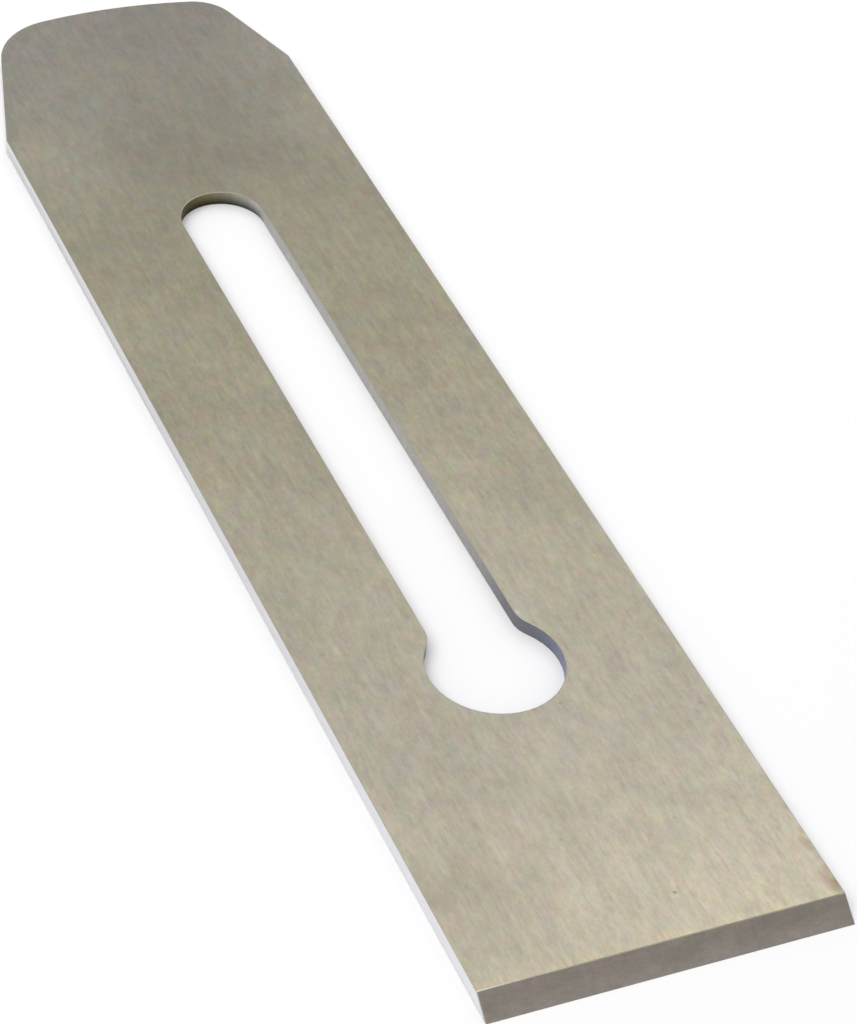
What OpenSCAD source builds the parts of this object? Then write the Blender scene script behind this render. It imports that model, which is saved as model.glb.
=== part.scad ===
// Plane iron: the slotted, single-bevel cutter of a metal bench plane.
// The flat back lies on z = 0, and the bevel and its face point up (+Z).
// The blade runs along Y, with the cutting edge at -Y and the crowned top end at +Y.
// The origin is the middle of the blade's length and width, on the flat back.

/* [Blade] */
// Width of the blade and of its cutting edge
blade_w = 44.45; // [34:0.05:66]
// Length from the cutting edge to the crown's highest point
blade_l = 190.5; // [155:0.5:230]
// Thickness of the plate
blade_t = 2.0; // [1.2:0.1:4]
// Angle between the flat back and the ground bevel, in degrees
bevel_deg = 34; // [20:1:45]

/* [Top end] */
// Length of the left (-X) sloping shoulder, along the blade
left_len = 25.0; // [12:0.2:36]
// How far the left shoulder narrows the blade
left_in = 7.0; // [3:0.1:9]
// Length of the right (+X) sloping shoulder, along the blade
right_len = 16.0; // [12:0.2:36]
// How far the right shoulder narrows the blade
right_in = 5.3; // [3:0.1:9]
// Radius of the crowned top edge
crown_r = 68; // [45:1:90]
// Rounding where the left shoulder meets the crown
left_corner_r = 10; // [2:0.5:12]
// Rounding where the right shoulder meets the crown
right_corner_r = 6; // [2:0.5:12]

/* [Slot and keyhole] */
// Width of the slot
slot_w = 11.4; // [8:0.1:14]
// Distance from the slot's rounded end to the crown's highest point
slot_end_gap = 45.9; // [36:0.1:60]
// Diameter of the keyhole that the cap screw's head passes through
keyhole_d = 16.7; // [13.5:0.1:22]
// Distance from the cutting edge to the keyhole's centre
keyhole_y = 48.6; // [36:0.1:62]
// Rounding of the two necks between keyhole and slot
neck_r = 4; // [1:0.5:6]

/* [Hidden] */

$fn = 96;
// How far a cutter runs past the face that it cuts
over = 1;

half_w = blade_w / 2;
bevel_len = blade_t / tan(bevel_deg);

// Outline, measured from the cutting edge, with the crown's highest point on the centre line
crown_y = blade_l - crown_r;

// Each shoulder is a straight line from the blade's side in to the crown's arc,
// and its corner there is rounded. The functions give one side's points with x
// counted outwards, for a shoulder that narrows the blade by inset over length len
// and a corner rounded to radius r.

// The sharp corner between the shoulder and the crown's arc
function corner(inset) =
    [half_w - inset, crown_y + sqrt(pow(crown_r, 2) - pow(half_w - inset, 2))];

// Where the shoulder leaves the blade's side
function side_end(inset, len) = [half_w, corner(inset)[1] - len];

// The shoulder line's outward direction
function outward(inset, len) = [len, inset] / sqrt(pow(inset, 2) + pow(len, 2));

// Distance from the crown's centre to the shoulder line, moved in by the rounding
function line_gap(inset, len, r) =
    (corner(inset) - [0, crown_y]) * outward(inset, len) - r;

// How far along that line the rounding's centre lies
function line_run(inset, len, r) =
    sqrt(pow(crown_r - r, 2) - pow(line_gap(inset, len, r), 2));

// The rounding's centre
function round_mid(inset, len, r) =
    let (d = outward(inset, len), gap = line_gap(inset, len, r), run = line_run(inset, len, r))
    [gap * d[0] - run * d[1], crown_y + gap * d[1] + run * d[0]];

// The shoulder lines run on past their sharp corners, to above the crown, before it is cut
shoulder_past = 6;
function past_corner(inset, len) =
    corner(inset) + shoulder_past * [-inset, len] / sqrt(pow(inset, 2) + pow(len, 2));

function mirrored(p) = [-p[0], p[1]];

// Slot and keyhole, measured from the cutting edge
slot_end_y = blade_l - slot_end_gap - slot_w / 2;
keyhole_r = keyhole_d / 2;
neck_x = slot_w / 2 + neck_r;
neck_y = keyhole_y + sqrt(pow(keyhole_r + neck_r, 2) - pow(neck_x, 2));

// The waste outside one rounded corner, drawn on the +X side
module corner_waste(inset, len, r) {
    mid = round_mid(inset, len, r);
    side_dir = outward(inset, len);
    crown_dir = (mid - [0, crown_y]) / (crown_r - r);
    difference() {
        polygon([
            mid,
            mid + (r + over) * side_dir,
            corner(inset) + over * (side_dir + crown_dir),
            mid + (r + over) * crown_dir
        ]);
        translate(mid)
            circle(r = r);
    }
}

// The waste above the crowned top edge
module crown_waste() {
    low = min(corner(left_in)[1], corner(right_in)[1]) - over;
    difference() {
        translate([-half_w, low])
            square([blade_w, blade_l + shoulder_past + over - low]);
        translate([0, crown_y])
            circle(r = crown_r);
    }
}

module outline() {
    difference() {
        polygon([
            [half_w, 0],
            side_end(right_in, right_len),
            past_corner(right_in, right_len),
            mirrored(past_corner(left_in, left_len)),
            mirrored(side_end(left_in, left_len)),
            [-half_w, 0]
        ]);
        crown_waste();
        corner_waste(right_in, right_len, right_corner_r);
        mirror([1, 0])
            corner_waste(left_in, left_len, left_corner_r);
    }
}

module keyhole_slot() {
    translate([0, keyhole_y])
        circle(d = keyhole_d);
    translate([-slot_w / 2, keyhole_y])
        square([slot_w, slot_end_y - keyhole_y]);
    translate([0, slot_end_y])
        circle(d = slot_w);
    // necks, rounded by one circle standing in the steel on each side
    difference() {
        polygon([[0, keyhole_y], [neck_x, neck_y], [-neck_x, neck_y]]);
        translate([neck_x, neck_y])
            circle(r = neck_r);
        translate([-neck_x, neck_y])
            circle(r = neck_r);
    }
}

// Everything above the bevel plane, past both sides of the blade
module bevel_cut() {
    translate([-half_w - over, 0, 0])
        rotate([90, 0, 90])
            linear_extrude(height = blade_w + 2 * over)
                polygon([
                    [-over, -over * tan(bevel_deg)],
                    [bevel_len + over, blade_t + over * tan(bevel_deg)],
                    [-over, blade_t + over * tan(bevel_deg)]
                ]);
}

module plane_iron() {
    color([0.60, 0.58, 0.54])
        translate([0, -blade_l / 2, 0])
            difference() {
                linear_extrude(height = blade_t)
                    outline();
                translate([0, 0, -over])
                    linear_extrude(height = blade_t + 2 * over)
                        keyhole_slot();
                bevel_cut();
            }
}

plane_iron();
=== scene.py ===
import bpy
import math
from mathutils import Matrix, Vector


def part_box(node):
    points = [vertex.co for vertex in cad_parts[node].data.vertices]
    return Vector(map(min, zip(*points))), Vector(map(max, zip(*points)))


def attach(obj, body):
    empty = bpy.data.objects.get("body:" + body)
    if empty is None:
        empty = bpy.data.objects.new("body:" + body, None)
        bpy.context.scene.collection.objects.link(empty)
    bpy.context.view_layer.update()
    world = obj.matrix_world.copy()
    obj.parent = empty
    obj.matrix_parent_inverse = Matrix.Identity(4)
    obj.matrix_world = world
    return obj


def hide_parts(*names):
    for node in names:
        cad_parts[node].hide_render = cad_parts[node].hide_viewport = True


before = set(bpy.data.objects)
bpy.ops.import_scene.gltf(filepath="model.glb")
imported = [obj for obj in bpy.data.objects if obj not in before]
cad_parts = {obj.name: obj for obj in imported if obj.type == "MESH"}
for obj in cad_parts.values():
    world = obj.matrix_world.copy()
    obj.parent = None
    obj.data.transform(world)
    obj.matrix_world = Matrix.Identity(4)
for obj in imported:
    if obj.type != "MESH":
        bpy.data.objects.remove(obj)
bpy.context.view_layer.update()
ironLow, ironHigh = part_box("plane_iron")
print("frame loaded, iron is", [round(v * 1000, 2) for v in ironHigh - ironLow], "mm")


# shader maths: a Wire is one output socket that can be added, multiplied and so on

class Wire:
    def __init__(self, tree, socket=None):
        self.tree = tree
        self.socket = socket

    def node(self, kind, settings, inputs, output=0):
        made = self.tree.nodes.new(kind)
        for name, value in settings.items():
            if name == "stops":
                setStops(made.color_ramp, value)
            else:
                setattr(made, name, value)
        for name, value in inputs.items():
            if isinstance(value, Wire):
                self.tree.links.new(value.socket, made.inputs[name])
            else:
                made.inputs[name].default_value = value
        return Wire(self.tree, made.outputs[output] if made.outputs else None)

    def maths(self, operation, first, second):
        return self.node("ShaderNodeMath", {"operation": operation}, {0: first, 1: second})

    def __add__(self, other):
        return self.maths("ADD", self, other)

    def __radd__(self, other):
        return self.maths("ADD", other, self)

    def __sub__(self, other):
        return self.maths("SUBTRACT", self, other)

    def __rsub__(self, other):
        return self.maths("SUBTRACT", other, self)

    def __mul__(self, other):
        return self.maths("MULTIPLY", self, other)

    def __rmul__(self, other):
        return self.maths("MULTIPLY", other, self)

    def __truediv__(self, other):
        return self.maths("DIVIDE", self, other)

    def __rtruediv__(self, other):
        return self.maths("DIVIDE", other, self)

    # 0 below start, 1 above end, smooth between
    def ramp(self, start, end):
        return self.node("ShaderNodeMapRange", {"interpolation_type": "SMOOTHSTEP"},
                         {"Value": self, "From Min": start, "From Max": end})

    # self is the factor between two colours
    def blend(self, first, second):
        return self.node("ShaderNodeMix", {"data_type": "RGBA"},
                         {0: self, 6: first, 7: second}, 2)

    # a colour multiplied by another colour, by an amount from 0 to 1
    def tint(self, other, amount=1.0):
        return self.node("ShaderNodeMix", {"data_type": "RGBA", "blend_type": "MULTIPLY"},
                         {0: amount, 6: self, 7: other}, 2)

    # the grey whose three channels are this number
    def grey(self):
        return self.node("ShaderNodeCombineColor", {}, {0: self, 1: self, 2: self})

    # a colour made lighter or darker by a factor
    def shade(self, factor):
        return self.tint(factor.grey())

    # a colour pulled to one tone or the other by a swing about zero
    def tinge(self, swung, lowTone, highTone):
        return self.tint((swung + 0.5).blend(lowTone, highTone))


def setStops(ramp, stops):
    while len(ramp.elements) < len(stops):
        ramp.elements.new(0.5)
    for element, (place, tone) in zip(ramp.elements, stops):
        element.position = place
        element.color = tone


def colour(red, green, blue):
    return (red, green, blue, 1.0)


def newMaterial(name):
    made = bpy.data.materials.new(name)
    made.use_nodes = True
    made.node_tree.nodes.clear()
    return made, Wire(made.node_tree)


# the shader and the output: inputs are the shader's sockets
def closeMaterial(start, inputs):
    surface = start.node("ShaderNodeBsdfPrincipled", {}, inputs)
    start.node("ShaderNodeOutputMaterial", {}, {"Surface": surface})


mmPerMetre = 1000


# object coordinates in millimetres
def placeInMm(start):
    coords = start.node("ShaderNodeTexCoord", {}, {}, "Object")
    return start.node("ShaderNodeMapping", {}, {"Vector": coords, "Scale": (mmPerMetre,) * 3})


# one coordinate of a place: 0 is across the blade, 1 along it, 2 up through it
def axisOf(place, number):
    return place.node("ShaderNodeSeparateXYZ", {}, {"Vector": place}, number)


def distanceFromEdge(place):
    return axisOf(place, 1) - ironLow.y * mmPerMetre


# noise that swings about zero: sizes are its largest grains in millimetres, across, along
# and through the blade, steps are the finer layers in it, hold is how strong they stay and
# seed moves the pattern to another place
def swing(place, grain):
    scaled = place.node("ShaderNodeMapping", {}, {
        "Vector": place, "Location": (grain["seed"],) * 3,
        "Scale": tuple(1 / size for size in grain["sizes"])})
    noise = place.node("ShaderNodeTexNoise", {}, {
        "Vector": scaled, "Scale": 1.0, "Detail": grain["steps"], "Roughness": grain["hold"]})
    return (noise - 0.5) * grain["amount"]


spotCore = 0.25                           # share of a spot's radius that keeps full strength


# 1 at a point on the upper face, fading to 0 at the radius, in millimetres
def spot(place, across, fromEdge, radius):
    point = (across, ironLow.y * mmPerMetre + fromEdge, ironHigh.z * mmPerMetre)
    gap = place.node("ShaderNodeVectorMath", {"operation": "DISTANCE"},
                     {0: place, 1: point}, "Value")
    return 1 - gap.ramp(spotCore * radius, radius)


# a colour that changes with a distance: each stop is millimetres, red, green, blue
def tonesBy(distance, stops):
    first, last = stops[0][0], stops[-1][0]
    places = [((d - first) / (last - first), colour(r, g, b)) for d, r, g, b in stops]
    return distance.node("ShaderNodeValToRGB", {"stops": places},
                         {"Fac": (distance - first) / (last - first)})


# the fine relief of a grain, of a given height in metres
def relief(start, grain, height):
    return start.node("ShaderNodeBump", {}, {
        "Strength": 1.0, "Distance": height, "Height": grain})


print("shader maths ready")


# ground steel of the two broad faces

faceLook = {
    # steel colour and painted light along the blade, brighter near the cutting edge and the top
    # end:
    # millimetres from the cutting edge, red, green, blue
    "tones": [(3.0, 0.512, 0.467, 0.336), (4.6, 0.479, 0.435, 0.338), (20, 0.434, 0.396, 0.313),
              (35, 0.384, 0.353, 0.284), (60, 0.374, 0.346, 0.270), (90, 0.354, 0.325, 0.245),
              (125, 0.342, 0.317, 0.230), (150, 0.340, 0.312, 0.243), (165, 0.378, 0.357, 0.290),
              (185, 0.382, 0.356, 0.304)],
    "clouds": {"sizes": (12.0, 15.0, 9.0), "steps": 2.0, "hold": 0.9, "seed": 3.1, "amount": 0.29},
    "mottle": {"sizes": (2.0, 3.4, 2.0), "steps": 3.0, "hold": 1.0, "seed": 23.4, "amount": 0.66},
    "strokes": {"sizes": (0.9, 3.6, 2.0), "steps": 2.0, "hold": 0.9, "seed": 33.6, "amount": 0.43},
    "streaks": {"sizes": (0.5, 9.0, 1.0), "steps": 2.0, "hold": 0.7, "seed": 11.3, "amount": 0.22},
    "quiet": (90.0, 165.0, 0.35),         # from here to here the grain fades by this share
    "warmth": {"sizes": (2.3, 2.9, 2.5), "steps": 3.0, "hold": 1.0, "seed": 41.7, "amount": 2.6},
    "coolTone": colour(0.957, 1.00, 1.072),
    "warmTone": colour(1.043, 1.00, 0.928),
    "blush": {"sizes": (2.2, 2.8, 2.2), "steps": 2.0, "hold": 1.0, "seed": 57.2, "amount": 2.1},
    "greenTone": colour(0.962, 1.038, 0.962),
    "pinkTone": colour(1.038, 0.962, 1.038),
    "tinted": (15.0, 110.0, 0.42),        # from here to here the two tints grow by this share
    # broad rubbed and dulled patches: across, from the cutting edge, radius in millimetres,
    # and how much brighter or darker; the smallest is a worn nick at the keyhole's neck,
    # partly a painted highlight
    "patches": [(-19, 14, 15, -0.13), (17, 8, 15, 0.09), (-1, 9, 12, 0.03), (-10, 29, 12, -0.05),
                (-21, 26, 8, 0.03), (20, 26, 10, 0.03),
                (21, 77, 11, -0.06), (-9, 88, 15, -0.07), (10, 112, 13, -0.06),
                (-23, 125, 16, 0.09), (-23, 152, 19, 0.15), (6, 160, 24, -0.13),
                (21, 156, 13, 0.10), (9, 187, 18, -0.12), (5.8, 55.7, 0.8, 0.28)],
    # small pits: across, from the cutting edge, radius in millimetres, how dark
    "pits": [(4.2, 9.1, 0.34, 0.42), (-4.5, 20.3, 0.34, 0.20), (9.1, 19.4, 0.34, 0.14),
             (4.5, 40.1, 0.40, 0.16), (20.1, 35.1, 0.50, 0.18), (-18.6, 56.1, 0.45, 0.16)],
    # rust-brown stains beside the right edge, in the same order
    "stains": [(22.2, 4.2, 1.7, 0.80), (21.6, 5.6, 1.3, 0.40), (22.2, 7.0, 1.2, 0.45),
               (21.9, 8.9, 0.9, 0.25), (22.0, 10.6, 1.4, 0.48), (21.4, 11.6, 1.0, 0.30),
               (22.2, 13.1, 1.0, 0.35), (22.3, 17.0, 1.0, 0.30)],
    "stainTone": colour(0.65, 0.52, 0.45),
    "stainBreak": 3.0,                    # how far the grain breaks the stains up
    "roughness": 0.42,
    "roughSwing": 0.25,                   # how far the mottle moves the roughness
    "grainHeight": 0.000012,
}


def groundFaceMaterial(look):
    made, start = newMaterial("groundFace")
    mm = placeInMm(start)
    fromEdge = distanceFromEdge(mm)
    quietFrom, quietTo, quietShare = look["quiet"]
    lively = 1 - fromEdge.ramp(quietFrom, quietTo) * quietShare
    mottle = swing(mm, look["mottle"])
    streaks = swing(mm, look["streaks"]) + swing(mm, look["strokes"])
    clouds = swing(mm, look["clouds"])
    # the tones along the blade are partly the steel's patina and partly painted light
    tone = tonesBy(fromEdge, look["tones"]).shade(1 + (clouds + mottle + streaks) * lively)
    tintFrom, tintTo, tintShare = look["tinted"]
    tinted = 1 + fromEdge.ramp(tintFrom, tintTo) * tintShare
    warmth, blush = swing(mm, look["warmth"]) * tinted, swing(mm, look["blush"]) * tinted
    tone = tone.tinge(warmth, look["coolTone"], look["warmTone"])
    tone = tone.tinge(blush, look["greenTone"], look["pinkTone"])
    for across, along, radius, change in look["patches"]:
        tone = tone.shade(1 + spot(mm, across, along, radius) * change)
    for across, along, radius, strength in look["stains"]:
        patchy = spot(mm, across, along, radius) * (1 + (mottle + streaks) * look["stainBreak"])
        tone = tone.tint(look["stainTone"], patchy * strength)
    for across, along, radius, strength in look["pits"]:
        tone = tone.shade(1 - spot(mm, across, along, radius) * strength)
    closeMaterial(start, {"Base Color": tone, "Metallic": 1.0,
                          "Normal": relief(start, mottle + streaks, look["grainHeight"]),
                          "Roughness": look["roughness"] + mottle * look["roughSwing"]})
    return made


# the bevel is ground across, so its fine lines run from the face down to the cutting edge
bevelLook = {
    "tones": [(0.2, 0.382, 0.342, 0.300), (1.2, 0.356, 0.316, 0.269), (2.2, 0.330, 0.294, 0.250),
              (3.0, 0.338, 0.300, 0.258)],
    "lines": {"sizes": (0.7, 9.0, 9.0), "steps": 3.0, "hold": 0.75, "seed": 5.3, "amount": 0.20},
    "patches": {"sizes": (5.0, 2.6, 2.6), "steps": 4.0, "hold": 0.9, "seed": 17.4, "amount": 0.75},
    "blush": {"sizes": (4.0, 2.4, 2.4), "steps": 3.0, "hold": 0.8, "seed": 63.8, "amount": 2.6},
    "greenTone": colour(0.965, 1.02, 0.965),
    "pinkTone": colour(1.035, 0.98, 1.035),
    "roughness": 0.40,
    "roughSwing": 0.3,                    # how far the lines move the roughness
    "grainHeight": 0.000005,
}


def groundBevelMaterial(look):
    made, start = newMaterial("groundBevel")
    mm = placeInMm(start)
    lines, patches = swing(mm, look["lines"]), swing(mm, look["patches"])
    tone = tonesBy(distanceFromEdge(mm), look["tones"]).shade(1 + lines + patches)
    tone = tone.tinge(swing(mm, look["blush"]), look["greenTone"], look["pinkTone"])
    closeMaterial(start, {"Base Color": tone, "Metallic": 1.0,
                          "Normal": relief(start, lines, look["grainHeight"]),
                          "Roughness": look["roughness"] + lines * look["roughSwing"]})
    return made


# the long sides and the top end, ground lengthwise
sideLook = {
    # tones along the blade, partly painted light that is darker towards the middle
    "tones": [(0, 0.78, 0.78, 0.805), (25, 0.77, 0.77, 0.795), (60, 0.715, 0.715, 0.735),
              (100, 0.675, 0.675, 0.69), (140, 0.73, 0.735, 0.745), (190, 0.79, 0.79, 0.80)],
    "lines": {"sizes": (0.4, 9.0, 0.3), "steps": 3.0, "hold": 0.7, "seed": 7.7, "amount": 0.25},
    "roughness": 0.35,
    "roughSwing": 0.5,                    # how far the lines move the roughness
}


def sideMaterial(look):
    made, start = newMaterial("groundSide")
    mm = placeInMm(start)
    lines = swing(mm, look["lines"])
    # the tones along the blade are partly painted light
    tone = tonesBy(distanceFromEdge(mm), look["tones"]).shade(1 + lines)
    closeMaterial(start, {"Base Color": tone, "Metallic": 1.0,
                          "Roughness": look["roughness"] + lines * look["roughSwing"]})
    return made


# the slot is punched, with brown scale at its rounded end; its tones are partly painted light:
# pale along the straight walls as a painted reflection of the floor, blue-grey round the keyhole,
# and darker at the rounded end and towards the back as painted shade
slotLook = {
    "wallTonesAndPaintedLight": [(49, 0.250, 0.257, 0.350), (51.5, 0.206, 0.212, 0.268),
                  (53.5, 0.207, 0.205, 0.232), (58, 0.215, 0.215, 0.240),
                  (66, 0.368, 0.350, 0.342), (76, 0.430, 0.420, 0.405),
                  (110, 0.468, 0.460, 0.440), (138, 0.468, 0.458, 0.440)],
    # by millimetres across the rounded end; its brown scale and its change from dark to pale are
    # partly painted shade
    "endTonesAndPaintedShade": [(-3.4, 0.125, 0.100, 0.038), (0.0, 0.205, 0.186, 0.095),
                 (2.9, 0.290, 0.282, 0.218), (4.4, 0.440, 0.440, 0.402),
                 (5.5, 0.580, 0.575, 0.545)],
    "endStart": (138.0, 141.0),           # millimetres from the cutting edge
    # painted shade on the rounded end, darker towards the back
    # brightness at the level of the back, and how much more for each millimetre up
    "paintedEndShade": (0.05, 0.56),
    "shear": {"sizes": (0.9, 0.9, 5.0), "steps": 3.0, "hold": 0.7, "seed": 9.2, "amount": 0.5},
    "roughness": 0.5,
    "roughSwing": 0.4,                    # how far the shear marks move the roughness
}


def slotMaterial(look):
    made, start = newMaterial("slotWall")
    mm = placeInMm(start)
    fromEdge = distanceFromEdge(mm)
    # painted shade on the rounded end, darker towards the back
    lowShade, shadePerMm = look["paintedEndShade"]
    end = tonesBy(axisOf(mm, 0), look["endTonesAndPaintedShade"]).shade(lowShade + axisOf(mm, 2) * shadePerMm)
    shear = swing(mm, look["shear"])
    # the walls' tones along the blade, partly painted light
    tone = fromEdge.ramp(*look["endStart"]).blend(tonesBy(fromEdge, look["wallTonesAndPaintedLight"]), end)
    closeMaterial(start, {"Base Color": tone.shade(1 + shear), "Metallic": 1.0,
                          "Roughness": look["roughness"] + shear * look["roughSwing"]})
    return made


# the fine breaks along the edges, worn by handling
arrisLook = {
    "tone": colour(0.47, 0.44, 0.355),
    "wear": {"sizes": (3.0, 3.0, 3.0), "steps": 4.0, "hold": 0.7, "seed": 13.6, "amount": 0.5},
    "roughness": 0.35,
    "roughSwing": 0.4,                    # how far the wear moves the roughness
}


def arrisMaterial(look):
    made, start = newMaterial("wornArris")
    wear = swing(placeInMm(start), look["wear"])
    tone = (1 + wear).grey().tint(look["tone"])
    closeMaterial(start, {"Base Color": tone, "Metallic": 1.0,
                          "Roughness": look["roughness"] + wear * look["roughSwing"]})
    return made


# the iron: the CAD solid with fine breaks on its edges

ironShape = {
    "edgeBreak": 0.00008,                 # how far each sharp edge is broken
    "breakSteps": 2,
    "sharp": math.radians(20),            # an edge that turns by more than this is broken
    "smooth": math.radians(30),           # an edge that turns by less than this shades smooth
    "same": 0.000001,                     # corners closer than this are one
    "flat": math.radians(0.5),            # faces that meet flatter than this are one
    "near": 0.00001,                      # closer than this counts as touching
    "level": 0.99,                        # a normal's upward part on the two broad faces
    "sloped": 0.3,                        # and the least it is on the bevel
    "slotTop": 0.146,                     # the slot ends short of this, from the cutting edge
}

finishes = ["face", "bevel", "side", "slot", "arris"]


def deselectAll():
    bpy.ops.object.select_all(action="DESELECT")


# which finish a face of the plain solid has
def finishOf(face, shape):
    normal, middle = face.normal, face.center
    if abs(normal.z) > shape["level"]:
        return "face"
    if normal.z > shape["sloped"]:
        return "bevel"
    atSide = abs(abs(middle.x) - ironHigh.x) < shape["near"]
    atTop = middle.y > ironLow.y + shape["slotTop"]
    return "side" if atSide or atTop else "slot"


# every sharp edge but the cutting edge is marked to be broken
def markBreaks(mesh, shape):
    weights = mesh.attributes.new("bevel_weight_edge", "FLOAT", "EDGE")
    facesOf = {}
    for face in mesh.polygons:
        for key in face.edge_keys:
            facesOf.setdefault(key, []).append(face)
    for edge in mesh.edges:
        one, two = facesOf[edge.key]
        cuttingY = ironLow.y + shape["near"]
        cutting = all(mesh.vertices[i].co.y < cuttingY for i in edge.vertices)
        if not cutting and one.normal.angle(two.normal) > shape["sharp"]:
            weights.data[edge.index].value = 1.0


def makeIron(shape):
    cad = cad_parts["plane_iron"]
    iron = bpy.data.objects.new("iron", cad.data.copy())
    bpy.context.scene.collection.objects.link(iron)
    deselectAll()
    iron.select_set(True)
    bpy.context.view_layer.objects.active = iron
    bpy.ops.object.mode_set(mode="EDIT")
    bpy.ops.mesh.select_all(action="SELECT")
    bpy.ops.mesh.remove_doubles(threshold=shape["same"])
    bpy.ops.mesh.dissolve_limited(angle_limit=shape["flat"])
    bpy.ops.mesh.normals_make_consistent(inside=False)
    bpy.ops.object.mode_set(mode="OBJECT")
    mesh = iron.data
    mesh.materials.clear()
    # in the order of the finishes
    for made in (groundFaceMaterial(faceLook), groundBevelMaterial(bevelLook),
                 sideMaterial(sideLook), slotMaterial(slotLook), arrisMaterial(arrisLook)):
        mesh.materials.append(made)
    for face in mesh.polygons:
        face.material_index = finishes.index(finishOf(face, shape))
    markBreaks(mesh, shape)
    bevel = iron.modifiers.new("edgeBreak", "BEVEL")
    bevel.limit_method = "WEIGHT"
    bevel.width = shape["edgeBreak"]
    bevel.segments = shape["breakSteps"]
    bevel.material = finishes.index("arris")
    bpy.ops.object.modifier_apply(modifier="edgeBreak")
    bpy.ops.object.shade_smooth_by_angle(angle=shape["smooth"])
    for face in iron.data.polygons:
        if finishes[face.material_index] in ("face", "bevel"):
            face.use_smooth = False
    return iron


iron = makeIron(ironShape)
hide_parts("plane_iron")
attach(iron, "root")
print("iron made,", len(iron.data.polygons), "faces")


# floor, light and camera

floorLook = {
    "size": 6.0,
    "drop": 0.00002,                      # how far it lies under the iron
    "tone": colour(0.985, 0.985, 0.985),
    "roughness": 0.9,
}


def makeFloor(look):
    deselectAll()
    bpy.ops.mesh.primitive_plane_add(size=look["size"],
                                     location=(0, 0, ironLow.z - look["drop"]))
    floor = bpy.context.object
    floor.name = "floor"
    made, start = newMaterial("paleFloor")
    closeMaterial(start, {"Base Color": look["tone"], "Roughness": look["roughness"]})
    floor.data.materials.append(made)


makeFloor(floorLook)

lightLook = {
    "world": colour(0.60, 0.60, 0.61),
    "boxes": [
        # name, place, aim, width, depth, power
        ("backSoftbox", (0.155, 0.20, 0.33), (0.0, -0.09, 0.0), 0.24, 0.24, 0.21),
        ("leftSoftbox", (-0.5, -0.1, 0.9), (0.0, 0.0, 0.0), 0.8, 0.8, 5.0),
    ],
}


def makeLights(look):
    world = bpy.data.worlds.new("studio")
    world.use_nodes = True
    bpy.context.scene.world = world
    world.node_tree.nodes["Background"].inputs["Color"].default_value = look["world"]
    for name, place, aim, wide, deep, power in look["boxes"]:
        lamp = bpy.data.lights.new(name, "AREA")
        lamp.shape = "RECTANGLE"
        lamp.size, lamp.size_y = wide, deep
        lamp.energy = power
        box = bpy.data.objects.new(name, lamp)
        bpy.context.scene.collection.objects.link(box)
        box.location = place
        box.rotation_euler = (Vector(aim) - Vector(place)).to_track_quat("-Z", "Y").to_euler()


makeLights(lightLook)

cameraLook = {
    "aim": (0.004006, -0.017589, 0.0),   # where the view's centre meets the floor
    "distance": 0.440713,
    "azimuth": 26.994,                    # degrees, turned to look from the left front
    "elevation": 40.906,
    "roll": 6.231,
    "lens": 126.405,
    "sensor": 36.0,
    "clip": (0.01, 20.0),
}


def makeCamera(look):
    camera = bpy.data.objects.new("camera", bpy.data.cameras.new("camera"))
    bpy.context.scene.collection.objects.link(camera)
    camera.data.lens = look["lens"]
    camera.data.sensor_width = look["sensor"]
    camera.data.clip_start, camera.data.clip_end = look["clip"]
    turn, lift = math.radians(look["azimuth"]), math.radians(look["elevation"])
    back = Vector((-math.sin(turn) * math.cos(lift), -math.cos(turn) * math.cos(lift),
                   math.sin(lift)))
    facing = (-back).to_track_quat("-Z", "Y").to_matrix()
    spin = Matrix.Rotation(math.radians(look["roll"]), 3, "Z")
    camera.matrix_world = (Matrix.Translation(Vector(look["aim"]) + back * look["distance"])
                           @ (facing @ spin).to_4x4())
    bpy.context.scene.camera = camera


makeCamera(cameraLook)
bpy.context.scene.view_settings.view_transform = "Standard"
bpy.context.scene.view_settings.look = "None"
print("floor, lights and camera made")
